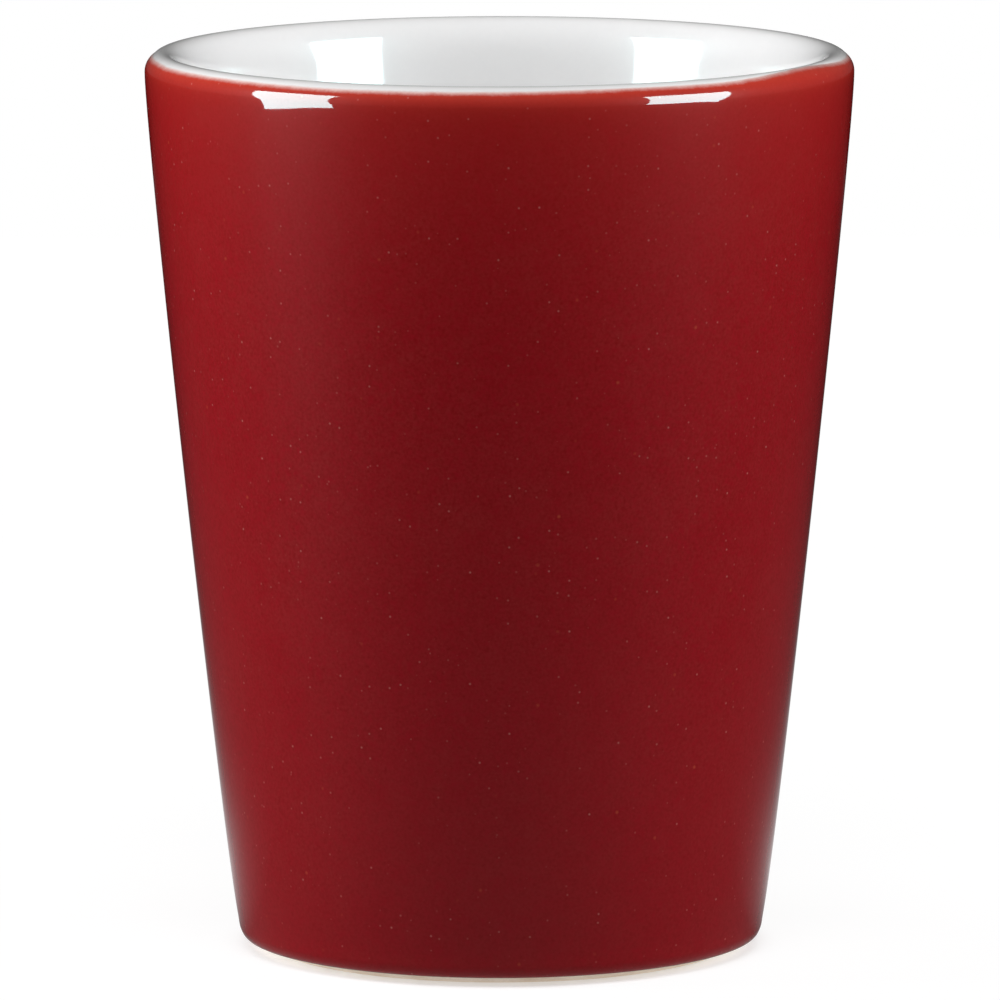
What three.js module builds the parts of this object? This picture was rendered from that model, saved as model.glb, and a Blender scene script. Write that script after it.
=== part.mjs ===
// A turned ceramic shot glass: one clay body and the three glass coats that are melted on to it.
// Millimetres, +Z up, standing on z = 0 with its axis on the Z axis.
// Every piece is turned from the same section line, so the coats lie on the clay face to face.

import * as THREE from 'three';

// The glazed cup
const RIM_DIAMETER = 48;
const HEIGHT = 61.2;

// Glaze runs down as it melts: thin where it breaks over the lip, thicker towards the foot and on the floor
const GLAZE_AT_LIP = 0.2;
const GLAZE_AT_FOOT = 0.36;
const GLAZE_ON_FLOOR = 0.35;
const GLAZE_IN_RECESS = 0.3;
const GLAZE_EDGE = 0.55;

// Foot: a bare ring that the cup stands on, rounded up into the wall, with a shallow recess inside it
const FOOT_RADIUS = 15;
const FOOT_ROUNDING = 2.7;
const FOOT_BARE = THREE.MathUtils.degToRad(43.5);
const RING_WIDTH = 3.3;
const RECESS_ROUNDING = 0.7;

// Wall: leans out at the foot, runs nearly straight, and stands upright below the lip
const FOOT_LEAN = THREE.MathUtils.degToRad(25.8);
const FOOT_PULL = 1.8;
const LIP_PULL = 4;

// Lip: a round shoulder outside, a longer rounding inside, and where on the shoulder the glazes meet
const SHOULDER_WIDTH = 1.05;
const SHOULDER_HEIGHT = 1.13;
const INNER_LIP_WIDTH = 1.4;
const INNER_LIP_HEIGHT = 3.4;
const GLAZES_MEET = THREE.MathUtils.degToRad(51);

// Inside: a straight draft down to a rounded corner and a flat floor
const INNER_DRAFT = THREE.MathUtils.degToRad(7.3);
const FLOOR_HEIGHT = 4.8;
const FLOOR_ROUNDING = 5;

const FACETS_AROUND = 60;
const QUARTER = Math.PI / 2;

const clayHeight = HEIGHT - GLAZE_AT_LIP;
const clayRimRadius = RIM_DIAMETER / 2 - GLAZE_AT_LIP;
const crestRadius = clayRimRadius - SHOULDER_WIDTH;
const shoulderBase = clayHeight - SHOULDER_HEIGHT;

const point = (radius, height) => new THREE.Vector2(radius, height);

// An elliptical arc of the section, clockwise when it ends at a smaller angle than it starts.
function arc(centre, width, height, from, to, steps) {
  const ellipse = new THREE.EllipseCurve(centre.x, centre.y, width, height, from, to, to < from);
  return ellipse.getPoints(steps);
}

// Joins stretches that share their end points into one line.
function join(...stretches) {
  return stretches.reduce((line, stretch) => line.concat(stretch.slice(1)));
}

function footRounding(from, to, steps) {
  return arc(point(FOOT_RADIUS, FOOT_ROUNDING), FOOT_ROUNDING, FOOT_ROUNDING, from, to, steps);
}

function outerWall(start) {
  const lean = point(Math.sin(FOOT_LEAN), Math.cos(FOOT_LEAN));
  const end = point(clayRimRadius, shoulderBase);
  const footHandle = start.clone().addScaledVector(lean, FOOT_PULL);
  const lipHandle = point(end.x, end.y - LIP_PULL);
  return new THREE.CubicBezierCurve(start, footHandle, lipHandle, end).getPoints(8);
}

function shoulder(from, to, steps) {
  return arc(point(crestRadius, shoulderBase), SHOULDER_WIDTH, SHOULDER_HEIGHT, from, to, steps);
}

// From the crest of the lip, down the inner wall and across the floor to the axis. The lip's rounding stops
// where it has turned to the slope of the wall, so no edge shows between them.
function insideLine() {
  const lipCentre = point(crestRadius, clayHeight - INNER_LIP_HEIGHT);
  const wallJoins = 2 * QUARTER - Math.atan(INNER_LIP_HEIGHT / INNER_LIP_WIDTH * Math.tan(INNER_DRAFT));
  const lip = arc(lipCentre, INNER_LIP_WIDTH, INNER_LIP_HEIGHT, QUARTER, wallJoins, 5);
  const wallTop = lip.at(-1);
  const cornerHeight = FLOOR_HEIGHT + FLOOR_ROUNDING;
  const wallFootHeight = cornerHeight - FLOOR_ROUNDING * Math.sin(INNER_DRAFT);
  const wallFootRadius = wallTop.x - (wallTop.y - wallFootHeight) * Math.tan(INNER_DRAFT);
  const cornerCentre = point(wallFootRadius - FLOOR_ROUNDING * Math.cos(INNER_DRAFT), cornerHeight);
  const corner = arc(cornerCentre, FLOOR_ROUNDING, FLOOR_ROUNDING, -INNER_DRAFT, -QUARTER, 5);
  const wall = new THREE.LineCurve(wallTop, corner[0]).getPoints(4);
  return join(lip, wall, corner, [corner.at(-1), point(0, FLOOR_HEIGHT)]);
}

// Under the base: the recess roof and half of its corner carry glaze, the rest down to the ring is bare.
const recessHeight = 2 * RECESS_ROUNDING;
const ringInner = point(FOOT_RADIUS - RING_WIDTH, RECESS_ROUNDING);
const recessCorner = point(ringInner.x - recessHeight, RECESS_ROUNDING);
const recessRounding = (centre, from, to) => arc(centre, RECESS_ROUNDING, RECESS_ROUNDING, from, to, 3);
const roofEdge = recessRounding(recessCorner, QUARTER, QUARTER / 2);
const recessGlazed = join([point(0, recessHeight), roofEdge[0]], roofEdge);
const recessBare = join(
  recessRounding(recessCorner, QUARTER / 2, 0),
  recessRounding(ringInner, 2 * QUARTER, 3 * QUARTER),
);

// The clay's section, cut where one coat stops and the next begins. It runs with the clay on its left.
const footBare = footRounding(-QUARTER, FOOT_BARE - QUARTER, 3);
const footGlazed = footRounding(FOOT_BARE - QUARTER, -FOOT_LEAN, 4);
const outsideGlazed = join(footGlazed, outerWall(footGlazed.at(-1)), shoulder(0, GLAZES_MEET, 3));
const insideGlazed = join(shoulder(GLAZES_MEET, QUARTER, 3), insideLine());
const upperGlazed = join(outsideGlazed, insideGlazed);
const ring = [recessBare.at(-1), footBare[0]];
const claySection = join(recessGlazed, recessBare, ring, footBare, upperGlazed);

// How far along a line each of its points lies.
function distancesAlong(line) {
  let distance = 0;
  return line.map((place, i) => {
    distance += i === 0 ? 0 : place.distanceTo(line[i - 1]);
    return distance;
  });
}

// The free face of a coat: each point of the clay's line moved out by the coat's depth there.
function coatFace(line, depths) {
  return line.map((place, i) => {
    const before = line[Math.max(i - 1, 0)];
    const after = line[Math.min(i + 1, line.length - 1)];
    const along = after.clone().sub(before).normalize();
    return point(place.x + along.y * depths[i], place.y - along.x * depths[i]);
  });
}

// A melted edge is round: the depth falls to nothing over the last stretch before it.
function roundedDepth(depth, fromEdge) {
  const inside = Math.min(fromEdge / GLAZE_EDGE, 1);
  return depth * Math.sqrt(1 - (1 - inside) ** 2);
}

function upperDepths() {
  const distances = distancesAlong(upperGlazed);
  const meeting = distances[outsideGlazed.length - 1];
  const floorMiddle = distances.at(-1);
  return distances.map((distance) => {
    const down = (distance - meeting) / (floorMiddle - meeting);
    if (down >= 0) return THREE.MathUtils.lerp(GLAZE_AT_LIP, GLAZE_ON_FLOOR, down);
    const up = distance / meeting;
    return roundedDepth(THREE.MathUtils.lerp(GLAZE_AT_FOOT, GLAZE_AT_LIP, up), distance);
  });
}

function recessDepths() {
  const distances = distancesAlong(recessGlazed);
  return distances.map((distance) => roundedDepth(GLAZE_IN_RECESS, distances.at(-1) - distance));
}

// Each coat's section goes along one of its faces and back along the other.
const upperFace = coatFace(upperGlazed, upperDepths());
const outerFace = upperFace.slice(0, outsideGlazed.length);
const linerFace = upperFace.slice(outsideGlazed.length - 1);
const outerSection = [...outerFace, ...outsideGlazed.toReversed()];
const linerSection = [...insideGlazed.toReversed(), ...linerFace];
const baseSection = join(coatFace(recessGlazed, recessDepths()), recessGlazed.toReversed());

const redGlaze = new THREE.MeshStandardMaterial({ color: 0x8a1c20, roughness: 0.15, metalness: 0 });
const whiteGlaze = new THREE.MeshStandardMaterial({ color: 0xe8e6e2, roughness: 0.15, metalness: 0 });
const firedClay = new THREE.MeshStandardMaterial({ color: 0xd9c6b1, roughness: 0.85, metalness: 0 });

function turned(name, section, material) {
  const geometry = new THREE.LatheGeometry(section, FACETS_AROUND);
  geometry.rotateX(QUARTER);
  const mesh = new THREE.Mesh(geometry, material);
  mesh.name = name;
  return mesh;
}

const shotGlass = new THREE.Group();
shotGlass.add(turned('clay_body', claySection, firedClay));
shotGlass.add(turned('outer_glaze', outerSection, redGlaze));
shotGlass.add(turned('liner_glaze', linerSection, whiteGlaze));
shotGlass.add(turned('base_glaze', baseSection, redGlaze.clone()));

export default shotGlass;
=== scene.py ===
# %% [markdown]
# # A shot glass in red and white glaze
# The real cup is a small tapered tumbler of fired clay. Red glaze covers its outside, white glaze its
# inside and its lip, and the ring that it stands on is left bare. The measured solids are loaded first
# and are never moved: every piece that is made below takes the place of one of them, at the same size
# and in the same spot.

# %% Load the measured solids
import math

import bpy
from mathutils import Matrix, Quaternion, Vector
from mathutils.geometry import interpolate_bezier


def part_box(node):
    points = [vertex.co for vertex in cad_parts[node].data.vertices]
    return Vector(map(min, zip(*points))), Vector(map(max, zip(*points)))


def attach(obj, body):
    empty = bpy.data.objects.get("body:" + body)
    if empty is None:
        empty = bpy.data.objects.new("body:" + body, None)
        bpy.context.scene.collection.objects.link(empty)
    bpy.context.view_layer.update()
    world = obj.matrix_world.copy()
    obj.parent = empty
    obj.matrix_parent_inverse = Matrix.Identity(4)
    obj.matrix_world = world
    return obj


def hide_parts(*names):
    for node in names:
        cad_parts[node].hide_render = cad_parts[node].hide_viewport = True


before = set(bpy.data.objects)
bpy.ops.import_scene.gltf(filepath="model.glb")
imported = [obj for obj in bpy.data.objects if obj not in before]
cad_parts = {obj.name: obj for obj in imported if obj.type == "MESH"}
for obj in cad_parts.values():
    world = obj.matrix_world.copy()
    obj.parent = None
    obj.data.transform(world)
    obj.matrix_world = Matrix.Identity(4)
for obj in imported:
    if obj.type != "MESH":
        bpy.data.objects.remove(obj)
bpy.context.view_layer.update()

# %% [markdown]
# ## Where the camera stands
# The picture was taken with a long lens, a little above the rim, so the mouth is a thin ellipse and the
# foot a rounder one. The ratio of the two ellipses gives the distance, and their tilt gives the height
# of the lens. The lens is set from the size of the rim in a picture 1000 pixels wide.

# %% Camera
PICTURE_WIDTH = 1000
FOCAL_PIXELS = 11892
CAMERA_DISTANCE = 0.800
CAMERA_HEIGHT = 0.1453
AIM_HEIGHT = 0.0305
CAMERA_ROLL = -0.0014

eye = Vector((0, -CAMERA_DISTANCE, CAMERA_HEIGHT))
aim = Vector((0, 0, AIM_HEIGHT))
camera_data = bpy.data.cameras.new("camera")
camera_data.sensor_width = 36
camera_data.lens = camera_data.sensor_width * FOCAL_PIXELS / PICTURE_WIDTH
camera = bpy.data.objects.new("camera", camera_data)
camera.location = eye
camera.rotation_mode = "QUATERNION"
camera.rotation_quaternion = (aim - eye).to_track_quat("-Z", "Y") @ Quaternion((0, 0, 1), CAMERA_ROLL)
bpy.context.scene.collection.objects.link(camera)
bpy.context.scene.camera = camera
print("lens in millimetres:", round(camera_data.lens, 1))

# %% [markdown]
# ## Nodes written as sums
# A finish is a set of sums over the surface: how thick the glaze is, how far a point lies from an edge,
# how strong a speck is. Wiring those by hand is slow to read, so a small class wraps one socket and lets
# Python's own signs add the Math nodes. The same class serves materials and shapes.

# %% A socket that can be reckoned with
class Value:
    """One output socket. Arithmetic on it adds Math nodes to its tree."""

    def __init__(self, recipe, socket):
        self.recipe = recipe
        self.socket = socket

    def other(self, name):
        """Another output of the same node."""
        return Value(self.recipe, self.socket.node.outputs[name])

    def math(self, operation, *terms):
        return self.recipe.node("ShaderNodeMath", {"operation": operation}, dict(enumerate(terms)))

    def __add__(self, term):
        return self.math("ADD", self, term)

    def __sub__(self, term):
        return self.math("SUBTRACT", self, term)

    def __rsub__(self, term):
        return self.math("SUBTRACT", term, self)

    def __mul__(self, term):
        return self.math("MULTIPLY", self, term)

    def __truediv__(self, term):
        return self.math("DIVIDE", self, term)

    def __rtruediv__(self, term):
        return self.math("DIVIDE", term, self)

    def __pow__(self, term):
        return self.math("POWER", self, term)

    __radd__ = __add__
    __rmul__ = __mul__

    def cut(self):
        """The value held between 0 and 1."""
        return self.math("MINIMUM", self.math("MAXIMUM", self, 0.0), 1.0)

    def over(self, limit):
        """1 where the value is above a limit, 0 elsewhere."""
        return self.math("GREATER_THAN", self, limit)

    def fade(self, length):
        """1 at zero, falling away over a length."""
        return self.math("EXPONENT", self * (-1 / length))


print("signs that add a Math node: + - * / **")

# %% [markdown]
# One method adds any other node: it takes the node's type, its settings, which are set first, and the
# values or links of its sockets. Blending two colours, making a grey and cloudy noise are wanted so often
# that each has a short name of its own.

# %% A recipe that adds nodes to one tree
class Recipe:
    """Adds nodes to one tree and hands back their outputs."""

    def __init__(self, tree):
        self.tree = tree

    def node(self, kind, settings=None, sockets=None, out=0):
        made = self.tree.nodes.new(kind)
        for name, setting in (settings or {}).items():
            setattr(made, name, setting)
        for key, value in (sockets or {}).items():
            if isinstance(value, Value):
                self.tree.links.new(value.socket, made.inputs[key])
            else:
                made.inputs[key].default_value = value
        return Value(self, made.outputs[out]) if made.outputs else None

    def blend(self, share, first, second):
        """A colour between two others: a Mix node, because a Math node would turn them grey."""
        return self.node("ShaderNodeMix", {"data_type": "RGBA"}, {0: share, 6: first, 7: second}, out=2)

    def grey(self, value):
        return self.node("ShaderNodeCombineColor", None, {0: value, 1: value, 2: value})

    def noise(self, place, size, detail=2.0):
        """Cloudy noise round 0, about half a unit each way, with lumps about one size across."""
        sockets = {"Vector": place, "Scale": 1 / size, "Detail": detail}
        return self.node("ShaderNodeTexNoise", None, sockets) - 0.5


print("short names for common nodes: blend, grey, noise")

# %% [markdown]
# ## The section of the cup
# A thrown or jolleyed cup is a section line turned round an axis, so the shape is settled in two numbers
# for each point: radius and height. The main sizes come from the loaded solids. The rest are the
# roundings of the lip, the lean of the wall and the width of the foot ring.

# %% Sizes, in metres
MM = 0.001
rim_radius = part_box("outer_glaze")[1].x
cup_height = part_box("liner_glaze")[1].z
clay_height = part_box("clay_body")[1].z
floor_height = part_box("liner_glaze")[0].z
recess_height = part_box("base_glaze")[1].z
recess_glaze = recess_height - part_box("base_glaze")[0].z
lip_glaze = cup_height - clay_height

FOOT_RADIUS = 15 * MM
FOOT_ROUNDING = 2.7 * MM
FOOT_BARE = math.radians(43.5)
RING_WIDTH = 3.3 * MM
RECESS_ROUNDING = recess_height / 2

FOOT_LEAN = math.radians(25.8)
FOOT_PULL = 1.8 * MM
LIP_PULL = 4 * MM

SHOULDER_WIDTH = 1.05 * MM
SHOULDER_HEIGHT = 1.13 * MM
INNER_LIP_WIDTH = 1.4 * MM
INNER_LIP_HEIGHT = 3.4 * MM

INNER_DRAFT = math.radians(7.3)
FLOOR_ROUNDING = 5 * MM

clay_rim_radius = rim_radius - lip_glaze
crest_radius = clay_rim_radius - SHOULDER_WIDTH
shoulder_base = clay_height - SHOULDER_HEIGHT
print("rim", round(rim_radius / MM, 2), "mm, height", round(cup_height / MM, 2), "mm")

# %% [markdown]
# The line is drawn in stretches that share their ends: arcs for every rounding, one Bezier curve for the
# wall, straight runs elsewhere. Drawing it from the middle of the recess, out round the foot, up, over
# the lip and down to the middle of the floor keeps the clay always on the left, so out is always on the
# right. The last number of a stretch is how many steps it has.

# %% Kinds of stretch
QUARTER = math.pi / 2


def arc(centre, width, height, start, stop, steps):
    angles = [start + (stop - start) * i / steps for i in range(steps + 1)]
    return [centre + Vector((width * math.cos(a), height * math.sin(a))) for a in angles]


def straight(start, stop, steps):
    return [start.lerp(stop, i / steps) for i in range(steps + 1)]


def chain(*stretches):
    line = list(stretches[0])
    for stretch in stretches[1:]:
        line += stretch[1:]
    return line


def foot_arc(start, stop, steps):
    centre = Vector((FOOT_RADIUS, FOOT_ROUNDING))
    return arc(centre, FOOT_ROUNDING, FOOT_ROUNDING, start, stop, steps)


def shoulder_arc(start, stop, steps):
    centre = Vector((crest_radius, shoulder_base))
    return arc(centre, SHOULDER_WIDTH, SHOULDER_HEIGHT, start, stop, steps)


print("the lip's shoulder starts at", round(shoulder_base / MM, 2), "mm")

# %% [markdown]
# The upper part is drawn as two lines that end at the same point of the shoulder, where the two glazes
# meet. That point is given as an angle, because the meeting line will move up and down round the cup.
# The inner rounding of the lip stops where it has turned to the slope of the wall, so no edge shows.

# %% Outside and inside of the clay
def outside_line(meet):
    """The glazed outside, up to the angle of the shoulder where the red glaze stops."""
    foot = foot_arc(FOOT_BARE - QUARTER, -FOOT_LEAN, 14)
    lean = Vector((math.sin(FOOT_LEAN), math.cos(FOOT_LEAN)))
    wall_top = Vector((clay_rim_radius, shoulder_base))
    below_top = wall_top - Vector((0, LIP_PULL))
    wall = interpolate_bezier(foot[-1], foot[-1] + FOOT_PULL * lean, below_top, wall_top, 49)
    return chain(foot, wall, shoulder_arc(0, meet, 16))


def inside_line(meet):
    """The glazed inside, from that angle over the lip and down to the middle of the floor."""
    wall_joins = 2 * QUARTER - math.atan(INNER_LIP_HEIGHT / INNER_LIP_WIDTH * math.tan(INNER_DRAFT))
    lip_centre = Vector((crest_radius, clay_height - INNER_LIP_HEIGHT))
    lip = arc(lip_centre, INNER_LIP_WIDTH, INNER_LIP_HEIGHT, QUARTER, wall_joins, 18)
    corner_height = floor_height + FLOOR_ROUNDING
    wall_foot = corner_height - FLOOR_ROUNDING * math.sin(INNER_DRAFT)
    wall_foot_radius = lip[-1].x - (lip[-1].y - wall_foot) * math.tan(INNER_DRAFT)
    corner_radius = wall_foot_radius - FLOOR_ROUNDING * math.cos(INNER_DRAFT)
    corner_centre = Vector((corner_radius, corner_height))
    corner = arc(corner_centre, FLOOR_ROUNDING, FLOOR_ROUNDING, -INNER_DRAFT, -QUARTER, 14)
    floor = straight(corner[-1], Vector((0, floor_height)), 8)
    wall = straight(lip[-1], corner[0], 20)
    return chain(shoulder_arc(meet, QUARTER, 14), lip, wall, corner, floor)


print("points outside and inside:", len(outside_line(QUARTER / 2)), len(inside_line(QUARTER / 2)))

# %% [markdown]
# Under the base the ring that the cup stands on is bare, and so is the rounding outside it. The recess
# inside the ring is glazed as far as half of its corner.

# %% Recess and bare foot
ring_inner = Vector((FOOT_RADIUS - RING_WIDTH, RECESS_ROUNDING))
recess_corner = ring_inner - Vector((recess_height, 0))


def small_arc(centre, start, stop, steps):
    return arc(centre, RECESS_ROUNDING, RECESS_ROUNDING, start, stop, steps)


roof_edge = small_arc(recess_corner, QUARTER, QUARTER / 2, 8)
recess_line = chain(straight(Vector((0, recess_height)), roof_edge[0], 8), roof_edge)
recess_bare = small_arc(recess_corner, QUARTER / 2, 0, 6)
ring_edge = small_arc(ring_inner, 2 * QUARTER, 3 * QUARTER, 8)
foot_bare = foot_arc(-QUARTER, FOOT_BARE - QUARTER, 10)
foot_line = chain(recess_bare, ring_edge, straight(ring_edge[-1], foot_bare[0], 6), foot_bare)
print("points on the recess and the bare foot:", len(recess_line), len(foot_line))

# %% [markdown]
# ## Coats of glaze
# Melted glaze creeps down the wall: it is thin where it breaks over the lip, thicker lower down, and it
# stops in a small round roll before the foot. A coat is made by moving the section line out by the depth
# at each point.

# %% Depth of the coats
FOOT_GLAZE = 0.36 * MM
FLOOR_GLAZE = 0.35 * MM
GLAZE_EDGE = 0.55 * MM
EDGE_ROLL = 0.32


def distances(line):
    lengths = [0.0]
    for before, after in zip(line, line[1:]):
        lengths.append(lengths[-1] + (after - before).length)
    return lengths


def moved_out(line, depths):
    face = []
    for i, place in enumerate(line):
        along = (line[min(i + 1, len(line) - 1)] - line[max(i - 1, 0)]).normalized()
        face.append(place + depths[i] * Vector((along.y, -along.x)))
    return face


def rounded(depth, from_edge):
    """A melted edge: nothing at the edge itself, a slight roll just inside it, then the full depth."""
    inside = min(from_edge / GLAZE_EDGE, 1)
    roll = 1 + EDGE_ROLL * math.exp(-((from_edge / GLAZE_EDGE - 1) ** 2))
    return depth * roll * math.sqrt(1 - (1 - inside) ** 2)


def outside_depths(line):
    lengths = distances(line)
    full = [FOOT_GLAZE + (lip_glaze - FOOT_GLAZE) * length / lengths[-1] for length in lengths]
    return [rounded(depth, length) for depth, length in zip(full, lengths)]


def inside_depths(line):
    lengths = distances(line)
    return [lip_glaze + (FLOOR_GLAZE - lip_glaze) * (length / lengths[-1]) ** 2 for length in lengths]


print("glaze at the lip:", round(lip_glaze / MM, 2), "mm, at the foot:", round(FOOT_GLAZE / MM, 2), "mm")

# %% [markdown]
# The section of a coat goes along one of its faces and back along the other. The two coats that meet on
# the lip take their faces from one line of points, so they touch without a gap. The distance of each
# point from the meeting line is worked out too, because the finishes change with it.

# %% Section of every piece
def sections(meet):
    """The section of every piece, with the two glazes meeting at one angle of the shoulder."""
    outside = outside_line(meet)
    inside = inside_line(meet)
    upper = chain(outside, inside)
    face = moved_out(upper, chain(outside_depths(outside), inside_depths(inside)))
    red_face = face[:len(outside)]
    white_face = face[len(outside) - 1:]
    lengths = distances(recess_line)
    recess_depths = [rounded(recess_glaze, lengths[-1] - length) for length in lengths]
    recess_face = moved_out(recess_line, recess_depths)
    return {
        "clay_cup": chain(recess_line, foot_line, upper),
        "red_coat": red_face + outside[::-1],
        "white_coat": inside[::-1] + white_face,
        "recess_coat": chain(recess_face, recess_line[::-1]),
    }


def lengths_from_line(piece, line):
    """How far each point lies from where the two glazes meet, along the coat."""
    if piece == "red_coat":
        face = distances(line[:len(line) // 2][::-1])[::-1]
        return face + face[::-1]
    if piece == "white_coat":
        face = distances(line[len(line) // 2:])
        return face[::-1] + face
    return [cup_height] * len(line)


print("points in each section:", {piece: len(line) for piece, line in sections(QUARTER / 2).items()})

# %% [markdown]
# ## Turning the section
# Each piece is a section turned round the axis, which is a rule, so Geometry Nodes does it. A grid has
# one column for each point of the section and one row for each step around, and every grid point finds
# its row and its column from its own number.

# %% Rows and columns of the turning tree
wheel = bpy.data.node_groups.new("turn_on_the_wheel", "GeometryNodeTree")


def tree_input(name, kind):
    return wheel.interface.new_socket(name, in_out="INPUT", socket_type=kind)


tree_input("Section", "NodeSocketGeometry")
steps_in = tree_input("Steps around", "NodeSocketInt")
wander_in = tree_input("Line wander", "NodeSocketFloat")
wobble_in = tree_input("Wobble", "NodeSocketFloat")
ripple_in = tree_input("Ripple", "NodeSocketFloat")
finish_in = tree_input("Finish", "NodeSocketMaterial")
wheel.interface.new_socket("Turned", in_out="OUTPUT", socket_type="NodeSocketGeometry")

turn = Recipe(wheel)
section = turn.node("NodeGroupInput")
steps = section.other("Steps around")
count = turn.node("GeometryNodeAttributeDomainSize", None, {"Geometry": section})
grid = turn.node("GeometryNodeMeshGrid", None, {"Vertices X": steps + 1, "Vertices Y": count})
index = turn.node("GeometryNodeInputIndex")
row = turn.node("ShaderNodeMath", {"operation": "FLOOR"}, {0: (index + 0.5) / count})
column = index - row * count
angle = row / steps * math.tau - math.pi
across = turn.node("ShaderNodeMath", {"operation": "SINE"}, {0: angle})
facing = turn.node("ShaderNodeMath", {"operation": "COSINE"}, {0: angle})
print("nodes for the rows and columns:", len(wheel.nodes))

# %% [markdown]
# Two sections go in, drawn with the glaze line low and high on the lip, and the tree slides between them
# round the cup, because dipped glaze never ends on a level line. Noise lets the line wander everywhere.
# In three places it is moved further: by a tall climb, a broad swell and a narrow dip.

# %% The wandering glaze line
SLOW_DRIFT = 0.45
QUICK_DRIFT = 0.06
LINE_MIDDLE = 0.245
RED_CLIMBS_AT = math.radians(61)
RED_CLIMB = 0.74
CLIMB_SHARPNESS = 33
RED_SWELLS_AT = math.radians(25)
RED_SWELL = 0.2
SWELL_SHARPNESS = 12
RED_DIPS_AT = math.radians(-29)
RED_DIP = -0.10
DIP_SHARPNESS = 80

ring_place = turn.node("ShaderNodeCombineXYZ", None, {"X": across, "Y": facing})
drift = turn.noise(ring_place, SLOW_DRIFT) * 1.2 + turn.noise(ring_place, QUICK_DRIFT) * 0.5


def rise(at, amount, sharpness):
    """A smooth rise of the line round one side of the cup."""
    towards = turn.node("ShaderNodeMath", {"operation": "COSINE"}, {0: angle - at})
    return towards.cut() ** sharpness * amount


climb = rise(RED_CLIMBS_AT, RED_CLIMB, CLIMB_SHARPNESS) + rise(RED_SWELLS_AT, RED_SWELL, SWELL_SHARPNESS)
climb += rise(RED_DIPS_AT, RED_DIP, DIP_SHARPNESS)
line_height = (section.other("Line wander") * drift + climb + LINE_MIDDLE).cut()
print("nodes with the glaze line:", len(wheel.nodes))

# %% [markdown]
# Every grid point looks up its radius and height in both sections and slides between them. A slow wobble
# of about a hundredth of a millimetre and a ripple of about a thousandth pull the wall in here and there.
# They take the machine-made look off the wall and its reflections.

# %% Look up the section and wrap it round the axis
WOBBLE_SIZE = 22 * MM
RIPPLE_SIZE = 0.9 * MM


def looked_up(kind, value):
    sockets = {"Geometry": section, "Value": value, "Index": column}
    return turn.node("GeometryNodeSampleIndex", {"data_type": kind, "domain": "POINT"}, sockets)


def named(kind, name):
    return turn.node("GeometryNodeInputNamedAttribute", {"data_type": kind}, {"Name": name})


low_place = looked_up("FLOAT_VECTOR", turn.node("GeometryNodeInputPosition"))
high_place = looked_up("FLOAT_VECTOR", named("FLOAT_VECTOR", "high_line"))
slid = turn.node(
    "ShaderNodeMix", {"data_type": "VECTOR"}, {0: line_height, 4: low_place, 5: high_place}, out=1)
radius = turn.node("ShaderNodeSeparateXYZ", None, {0: slid}, out="X")
height = radius.other("Z")

wall_place = turn.node("ShaderNodeCombineXYZ", None, {
    "X": across * rim_radius, "Y": facing * rim_radius, "Z": height})
uneven = section.other("Wobble") * (turn.noise(wall_place, WOBBLE_SIZE, 1.0) - 0.5)
uneven += section.other("Ripple") * (turn.noise(wall_place, RIPPLE_SIZE, 1.0) - 0.5)
pulled_in = radius * (1 + uneven)
turned_place = turn.node("ShaderNodeCombineXYZ", None, {
    "X": pulled_in * across, "Y": pulled_in * facing * -1, "Z": height})
shaped = turn.node("GeometryNodeSetPosition", None, {"Geometry": grid, "Position": turned_place})
print("nodes with the wrapped grid:", len(wheel.nodes))

# %% [markdown]
# The grid is welded where the last row meets the first and where the line ends on the axis, and shaded
# smooth except along true corners. The distance from the glaze line is kept on the mesh, because the
# finishes thin out by it.

# %% Weld and hand over
WELD = 0.0005 * MM
TRUE_CORNER = math.radians(40)

from_line = looked_up("FLOAT", named("FLOAT", "from_line"))
marked = turn.node(
    "GeometryNodeStoreNamedAttribute", {"data_type": "FLOAT", "domain": "POINT"},
    {"Geometry": shaped, "Name": "from_line", "Value": from_line})
welded = turn.node("GeometryNodeMergeByDistance", None, {"Geometry": marked, "Distance": WELD})
smooth = turn.node("GeometryNodeSetShadeSmooth", None, {"Geometry": welded})
corner = turn.node("GeometryNodeInputMeshEdgeAngle").over(TRUE_CORNER)
crisp = turn.node(
    "GeometryNodeSetShadeSmooth", {"domain": "EDGE"},
    {"Geometry": smooth, "Selection": corner, "Shade Smooth": False})
real = turn.node("GeometryNodeRealizeInstances", None, {"Geometry": crisp})
finished = turn.node(
    "GeometryNodeSetMaterial", None, {"Geometry": real, "Material": section.other("Finish")})
turn.node("NodeGroupOutput", None, {0: finished})
print("nodes in the turning tree:", len(wheel.nodes))

# %% [markdown]
# A piece starts as a wire of its section with the second section and the distances stored on its points.
# After the tree has run, the result is kept as a plain mesh and takes its place in the model.

# %% Making one piece
STEPS_AROUND = 420
LINE_LOW = math.radians(43)
LINE_HIGH = math.radians(84)
LINE_WANDER = 0.30
WOBBLE = 0.0012
RIPPLE = 0.00012


def section_wire(name):
    low_section = sections(LINE_LOW)[name]
    high_section = sections(LINE_HIGH)[name]
    wire = bpy.data.meshes.new(name + "_section")
    edges = [(i, i + 1) for i in range(len(low_section) - 1)]
    wire.from_pydata([(p.x, 0, p.y) for p in low_section], edges, [])
    high_line = wire.attributes.new("high_line", "FLOAT_VECTOR", "POINT")
    high_line.data.foreach_set("vector", [n for p in high_section for n in (p.x, 0, p.y)])
    far = wire.attributes.new("from_line", "FLOAT", "POINT")
    far.data.foreach_set("value", lengths_from_line(name, low_section))
    return wire


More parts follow.
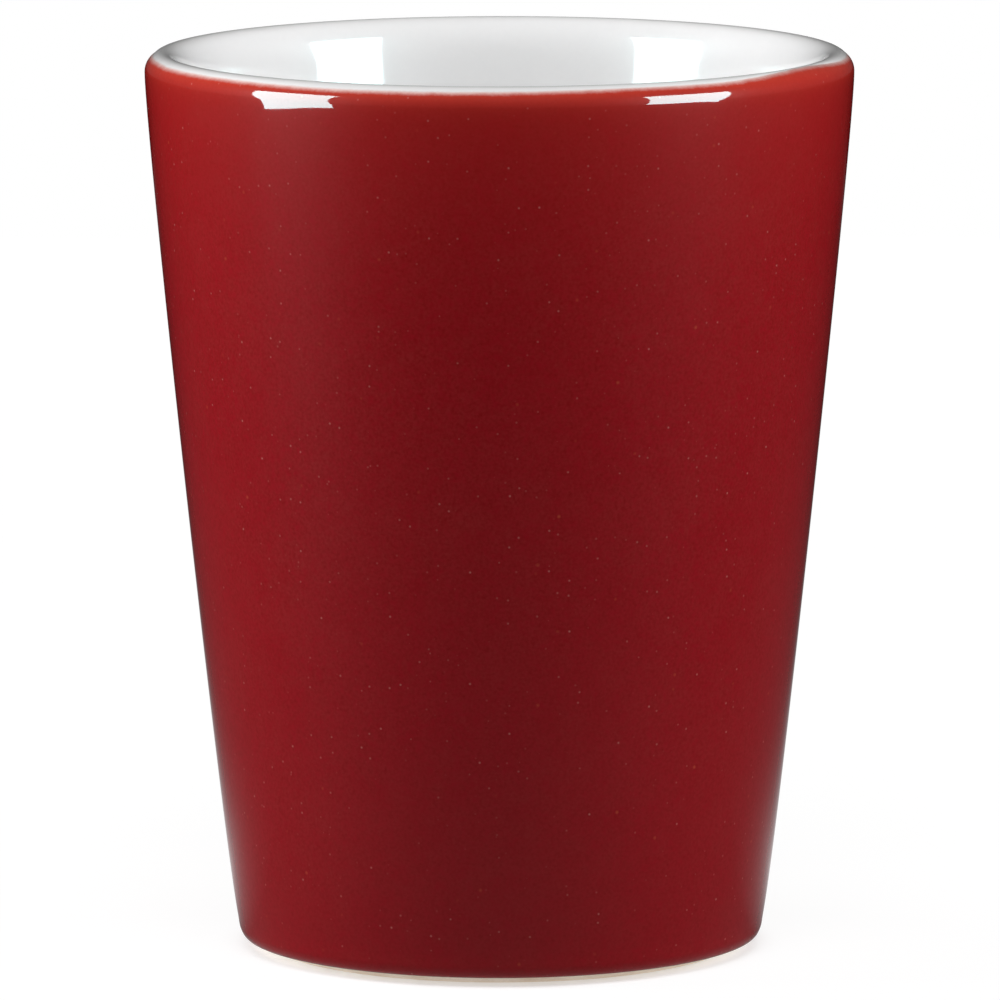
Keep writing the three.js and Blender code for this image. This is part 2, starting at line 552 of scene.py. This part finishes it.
def turned_piece(name, finish):
    piece = bpy.data.objects.new(name, section_wire(name))
    bpy.context.scene.collection.objects.link(piece)
    turning = piece.modifiers.new("turning", "NODES")
    turning.node_group = wheel
    turning[steps_in.identifier] = STEPS_AROUND
    turning[wander_in.identifier] = LINE_WANDER
    turning[wobble_in.identifier] = WOBBLE
    turning[ripple_in.identifier] = RIPPLE
    turning[finish_in.identifier] = finish
    evaluated = piece.evaluated_get(bpy.context.evaluated_depsgraph_get())
    piece.data = bpy.data.meshes.new_from_object(evaluated)
    piece.modifiers.clear()
    return piece


def put_in_place(piece, node):
    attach(piece, "root")
    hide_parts(node)
    print(piece.name, "takes the place of", node, "with", len(piece.data.polygons), "faces")


print("steps around every piece:", STEPS_AROUND)

# %% [markdown]
# ## Bare clay
# The foot is wiped clean before firing so that the cup does not stick to the kiln shelf. What shows there
# is the fired body itself: a pale, warm, dry surface with fine grit. Two sizes of noise give the clouds
# and the grains, and the same grains raise the surface a few hundredths of a millimetre, because dry clay
# has no gloss to hide them.

# %% Clay finish and the clay cup
CLAY_PALE = (0.90, 0.81, 0.70, 1)
CLAY_TAN = (0.73, 0.59, 0.45, 1)
GRIT_DARK = (0.40, 0.29, 0.20, 1)
GRAIN_HEIGHT = 0.04 * MM


def new_finish(name):
    finish = bpy.data.materials.new(name)
    finish.use_nodes = True
    finish.node_tree.nodes.clear()
    return finish, Recipe(finish.node_tree)


def spots(recipe, place, spacing, size, share):
    """Small soft spots in a share of the cells, each with a strength of its own up to 1."""
    sockets = {"Vector": place, "Scale": 1 / spacing}
    near = recipe.node("ShaderNodeTexVoronoi", None, sockets)
    chance = recipe.node("ShaderNodeSeparateColor", None, {0: near.other("Color")})
    strength = ((chance - (1 - share)) / share).cut()
    return ((size - near * spacing) / size).cut() * strength ** 2


clay_finish, clay = new_finish("bare_clay")
place = clay.node("ShaderNodeTexCoord", out="Object")
clouds = clay.noise(place, 2.2 * MM)
grain = clay.noise(place, 0.18 * MM, 4.0)
warm = clay.blend((clouds * 1.2 + grain * 0.9 + 0.35).cut(), CLAY_PALE, CLAY_TAN)
grit = spots(clay, place, spacing=0.5 * MM, size=0.11 * MM, share=0.5)
gritty = clay.blend(grit * 0.6, warm, GRIT_DARK)
raised = clay.node("ShaderNodeBump", None, {
    "Strength": 0.7, "Distance": GRAIN_HEIGHT, "Height": grain + 0.5})
clay_shader = clay.node("ShaderNodeBsdfPrincipled", None, {
    "Base Color": gritty, "Roughness": grain * 0.1 + 0.88, "Specular IOR Level": 0.2, "Normal": raised})
clay.node("ShaderNodeOutputMaterial", None, {"Surface": clay_shader})
put_in_place(turned_piece("clay_cup", clay_finish), "clay_body")

# %% [markdown]
# ## Red glaze
# Red glaze is coloured glass. It is a deep blood red, and inside the glass hang fine darker clouds, which
# are noise of several sizes. Towards the foot it is painted darker still, as painted shade for the light
# that falls off lower down the wall. Where it runs thin over the lip the light clay shows through and it
# turns orange, so the colours change with the distance from the glaze line.

# %% Clouds, painted shade and thinning of the red glaze
RED_PURE = (0.333, 0.0040, 0.0115, 1)
RED_BROWN = (0.314, 0.0165, 0.0185, 1)
RED_DARK = (0.252, 0.0010, 0.0030, 1)
RED_SHADED_LOW = (0.236, 0.0065, 0.0100, 1)
RED_ORANGE = (0.58, 0.062, 0.033, 1)
RED_UPPER = (0.44, 0.021, 0.017, 1)
LOW_SHADE_SHARE = 0.45
UPPER_LENGTH = 7.5 * MM
UPPER_SHARE = 0.66
THIN_LENGTH = 0.52 * MM
THIN_UNEVEN = 0.18 * MM

red_finish, red = new_finish("red_glaze")
place = red.node("ShaderNodeTexCoord", out="Object")
from_line = red.node("ShaderNodeAttribute", {"attribute_name": "from_line"}, out="Fac")

mottle = red.noise(place, 0.34 * MM, 1.0)
hue = mottle * 1.5 + red.noise(place, 1.3 * MM) * 1.1 + red.noise(place, 8 * MM) * 0.8 + 0.5
pigment = red.blend(hue.cut(), RED_PURE, RED_BROWN)
grain = red.noise(place, 0.21 * MM, 1.0) * 1.5 + mottle * 0.9 + red.noise(place, 3.5 * MM) * 0.3
cloudy = red.blend((grain + 0.30).cut(), pigment, RED_DARK)
# Painted shade: the red is blended darker towards the foot, where less light reaches the wall.
body = red.blend((from_line * (LOW_SHADE_SHARE / cup_height)).cut(), cloudy, RED_SHADED_LOW)
upper = red.blend(from_line.fade(UPPER_LENGTH) * UPPER_SHARE, body, RED_UPPER)
thin = red.blend((from_line + mottle * THIN_UNEVEN).fade(THIN_LENGTH).cut(), upper, RED_ORANGE)
print("nodes for the clouds and the thinning:", len(red_finish.node_tree.nodes))

# %% [markdown]
# Pale unmelted specks and a few orange ones hang in the glass as well, and along the very edge, where the
# red melted into the white, a fuzzy pink line is left. The top is smooth melted glass, which is the coat
# of the shader. The slightly uneven pigment under it gives the soft haze around a reflection.

# %% Specks, pink edge and gloss of the red glaze
SPECK_PALE = (0.62, 0.22, 0.20, 1)
SPECK_ORANGE = (0.62, 0.11, 0.05, 1)
MELTED_PINK = (0.86, 0.60, 0.56, 1)
PINK_LENGTH = 0.32 * MM
FUZZ = 0.12 * MM
SKIN_HEIGHT = 0.01 * MM

pale_specks = spots(red, place, spacing=0.66 * MM, size=0.10 * MM, share=0.85)
orange_specks = spots(red, place, spacing=1.3 * MM, size=0.16 * MM, share=0.4)
pale = red.blend(pale_specks * 0.75, thin, SPECK_PALE)
orange = red.blend(orange_specks * 0.5, pale, SPECK_ORANGE)
fuzzy = from_line + red.noise(place, 0.22 * MM, 3.0) * FUZZ + red.noise(place, 0.8 * MM) * FUZZ
pink = red.blend((1 - fuzzy / PINK_LENGTH).cut() ** 1.4, orange, MELTED_PINK)
skin = red.node("ShaderNodeBump", None, {
    "Strength": 0.3, "Distance": SKIN_HEIGHT, "Height": red.noise(place, 0.25 * MM) + 0.5})
red_shader = red.node("ShaderNodeBsdfPrincipled", None, {
    "Base Color": pink, "Roughness": mottle * 0.12 + 0.37, "Specular IOR Level": 0.036, "Normal": skin,
    "Coat Weight": 1.0, "Coat Roughness": 0.035, "Coat IOR": 1.5})
red.node("ShaderNodeOutputMaterial", None, {"Surface": red_shader})
print("nodes in the red glaze:", len(red_finish.node_tree.nodes))

# %% [markdown]
# The same red glaze is used twice: as the coat outside and as the small round coat in the recess under
# the base, where it is far from the glaze line and so never thins to orange.

# %% Red coat outside and in the recess
put_in_place(turned_piece("red_coat", red_finish), "outer_glaze")
put_in_place(turned_piece("recess_coat", red_finish), "base_glaze")

# %% [markdown]
# ## White glaze
# The liner is a clean white glass with a faint cloudiness. It goes over the lip first, and the red is
# dipped up to it, so the only colour in it is the breath of pink along the meeting line. Over the crest
# of the lip it is a little greyer: partly because it is drawn thin there and the clay shows through, and
# partly as painted shade for the dark room that the crest mirrors.

# %% White glaze finish and the liner
WHITE_CLEAR = (0.915, 0.91, 0.91, 1)
WHITE_CLOUD = (0.89, 0.885, 0.89, 1)
WHITE_CREST_THIN_AND_SHADED = (0.74, 0.735, 0.73, 1)
CREST_MIDDLE = 0.95 * MM
CREST_SPREAD = 0.65 * MM
CREST_GREY_SHARE = 0.75
BLUSH = (0.80, 0.58, 0.55, 1)
BLUSH_LENGTH = 0.16 * MM
BLUSH_SHARE = 0.8

white_finish, white = new_finish("white_glaze")
place = white.node("ShaderNodeTexCoord", out="Object")
from_line = white.node("ShaderNodeAttribute", {"attribute_name": "from_line"}, out="Fac")
cloudy = white.noise(place, 2.5 * MM, 3.0) + white.noise(place, 0.4 * MM)
clean = white.blend((cloudy * 0.8 + 0.4).cut(), WHITE_CLEAR, WHITE_CLOUD)
# Greyer over the crest: partly glaze drawn thin over the clay, partly painted shade for the dark room
# mirrored there.
on_crest = (((from_line - CREST_MIDDLE) / CREST_SPREAD) ** 2).fade(1)
thin = white.blend(on_crest * CREST_GREY_SHARE, clean, WHITE_CREST_THIN_AND_SHADED)
fuzzy = from_line + white.noise(place, 0.22 * MM, 3.0) * FUZZ
blushed = white.blend((1 - fuzzy / BLUSH_LENGTH).cut() * BLUSH_SHARE, thin, BLUSH)
white_shader = white.node("ShaderNodeBsdfPrincipled", None, {
    "Base Color": blushed, "Roughness": cloudy * 0.06 + 0.32, "Specular IOR Level": 0.12,
    "Coat Weight": 1.0, "Coat Roughness": 0.06, "Coat IOR": 1.5})
white.node("ShaderNodeOutputMaterial", None, {"Surface": white_shader})
put_in_place(turned_piece("white_coat", white_finish), "liner_glaze")

# %% [markdown]
# ## Studio light
# The light on the matt colour under the gloss comes from two broad lamps at the sides, one above in front
# and a low one behind, which gloss does not see. What gloss sees is set apart, in the next cell, so that
# each kind can be set without spoiling the other.

# %% Lamps for the matt colour
def around_cup(azimuth, elevation, distance):
    """A place by degrees round from the front, degrees up, and metres from the middle of the cup."""
    turned, raised = math.radians(azimuth), math.radians(elevation)
    flat = Vector((math.sin(turned), -math.cos(turned), 0)) * math.cos(raised)
    return aim + distance * (flat + Vector((0, 0, math.sin(raised))))


def soft_lamp(name, place, target, width, height, brightness):
    """A rectangular lamp, with the brightness of its face: 1 would show as white."""
    light = bpy.data.lights.new(name, "AREA")
    light.shape = "RECTANGLE"
    light.size = width
    light.size_y = height
    light.energy = brightness * math.pi * width * height
    lamp = bpy.data.objects.new(name, light)
    lamp.location = place
    lamp.rotation_mode = "QUATERNION"
    lamp.rotation_quaternion = (target - place).to_track_quat("-Z", "Y")
    lamp.visible_camera = False
    bpy.context.scene.collection.objects.link(lamp)
    return lamp


lamps = (
    soft_lamp("left_lamp", around_cup(-97, 10, 0.34), aim, 0.26, 0.26, 7.3),
    soft_lamp("right_lamp", around_cup(92, 10, 0.34), aim, 0.26, 0.26, 5.4),
    soft_lamp("front_lamp", around_cup(0, 52, 0.70), aim, 0.45, 0.45, 5.6),
    soft_lamp("back_lamp", around_cup(180, 0, 0.40), aim, 0.25, 0.05, 16),
)
for lamp in lamps:
    lamp.visible_glossy = False
print("lamps:", [lamp.name for lamp in lamps])

# %% [markdown]
# Two soft panels, one on either side, are mirrored on the lip and again inside. They lean towards the cup
# about 0.2 m away, set where those reflections put them, and only gloss sees them. The room itself is
# nearly dark.

# %% Panels for the gloss, and the room
ROOM = (0.035, 0.035, 0.035, 1)
PANEL_TINT = (0.64, 0.98, 1.0)
PANEL_BRIGHTNESS = 19


def panel(name, place, facing, dip, roll, width, height):
    """A panel set by the way that it faces: degrees from straight back, downwards, and rolled."""
    turned, dipped = math.radians(facing), math.radians(dip)
    flat = Vector((math.sin(turned), math.cos(turned), 0)) * math.cos(dipped)
    target = place + flat - Vector((0, 0, math.sin(dipped)))
    made = soft_lamp(name, place, target, width, height, PANEL_BRIGHTNESS)
    made.rotation_quaternion = made.rotation_quaternion @ Quaternion((0, 0, 1), math.radians(roll))
    made.visible_diffuse = False
    made.data.color = PANEL_TINT
    return made


panels = (
    panel("left_panel", Vector((-0.212, -0.0764, 0.105)), 56.8, 19.0, 6.3, 0.120, 0.181),
    panel("right_panel", Vector((0.180, -0.0924, 0.111)), -55.9, 20.6, -10.2, 0.107, 0.147),
)

world = bpy.data.worlds.new("room")
bpy.context.scene.world = world
world.use_nodes = True
world.node_tree.nodes["Background"].inputs["Color"].default_value = ROOM
print("panels:", [made.name for made in panels])

# %% [markdown]
# ## Floor
# The cup stands on a pale floor that runs out of the picture on all sides. Its own colour is paper white
# under the foot and goes to dark grey further out, so that it throws little light back up. A glow makes
# up what is missing to white, more where the lamps no longer reach, and the cup's own shadow stays.

# %% Colour and glow of the floor
FLOOR_GREY = 0.11
GREY_REACH = 0.10
PAPER_WHITE = 0.86
PAPER_RADIUS = 0.0176
DISC_EDGE = 16
LIGHT_NEAR = 0.87
LIGHT_REACH = 0.33
LIGHT_FALL = 2.5

floor_finish, floor = new_finish("pale_floor")
place = floor.node("ShaderNodeTexCoord", out="Object")
from_cup = floor.node("ShaderNodeVectorMath", {"operation": "LENGTH"}, {0: place}, out="Value")


def disc(disc_radius):
    """1 around the middle of the floor, falling away quickly at a radius."""
    return ((from_cup / disc_radius) ** DISC_EDGE).fade(1)


grey = FLOOR_GREY / (1 + (from_cup / GREY_REACH) ** 2)
paleness = grey + (PAPER_WHITE - grey) * disc(PAPER_RADIUS)
light = LIGHT_NEAR / (1 + (from_cup / LIGHT_REACH) ** LIGHT_FALL)
glow = 1 - paleness * light
print("nodes for the colour and the glow:", len(floor_finish.node_tree.nodes))

# %% [markdown]
# The camera sees that glow everywhere. Gloss is given the same white behind the cup, where it is the
# background. It fades to the floor's own grey at the sides and in front, because the glaze in the
# photograph mirrors a dark studio there. Under the foot, and in a narrow ring around it, the glow also
# lights the cup as white paper would, so the bare clay does not go black. From below the floor is clear,
# so that the foot can be seen.

# %% Who sees the glow
BEHIND_SOFT = 0.025
BESIDE_SOFT = 0.028
FOOT_LIGHT_RADIUS = 0.0185

sideways = floor.node("ShaderNodeSeparateXYZ", None, {0: place}, out="X")
backwards = sideways.other("Y")
behind_cup = (backwards / BEHIND_SOFT).cut() * (sideways * sideways).fade(BESIDE_SOFT ** 2)
seen = floor.node("ShaderNodeLightPath", out="Is Camera Ray")
mirrored = seen.other("Is Glossy Ray") * behind_cup
sent_back = seen.other("Is Diffuse Ray") * disc(FOOT_LIGHT_RADIUS)
seen_white = (seen + mirrored + seen.other("Is Transmission Ray") + sent_back).cut()

lit = floor.node("ShaderNodeBsdfDiffuse", None, {"Color": floor.grey(paleness)})
glowing = floor.node("ShaderNodeEmission", None, {
    "Color": floor.grey(glow * seen_white), "Strength": 1.0})
pale = floor.node("ShaderNodeAddShader", None, {0: lit, 1: glowing})
clear = floor.node("ShaderNodeBsdfTransparent")
from_below = floor.node("ShaderNodeNewGeometry", out="Backfacing")
floor_shader = floor.node("ShaderNodeMixShader", None, {0: from_below, 1: pale, 2: clear})
floor.node("ShaderNodeOutputMaterial", None, {"Surface": floor_shader})
print("nodes in the floor:", len(floor_finish.node_tree.nodes))

# %% [markdown]
# The floor itself is one flat sheet, much larger than the picture. It belongs to the stage and is not a
# piece of the cup.

# %% Floor sheet
FLOOR_HALF = 1.5

sheet = bpy.data.meshes.new("floor")
corners = [(x * FLOOR_HALF, y * FLOOR_HALF, 0) for x, y in ((-1, -1), (1, -1), (1, 1), (-1, 1))]
sheet.from_pydata(corners, [], [(0, 1, 2, 3)])
sheet.materials.append(floor_finish)
stage_floor = bpy.data.objects.new("floor", sheet)
bpy.context.scene.collection.objects.link(stage_floor)
print("floor reaches", FLOOR_HALF, "m each way")

# %% [markdown]
# The colours are shown as they are, without a film look.

bpy.context.scene.view_settings.view_transform = "Standard"
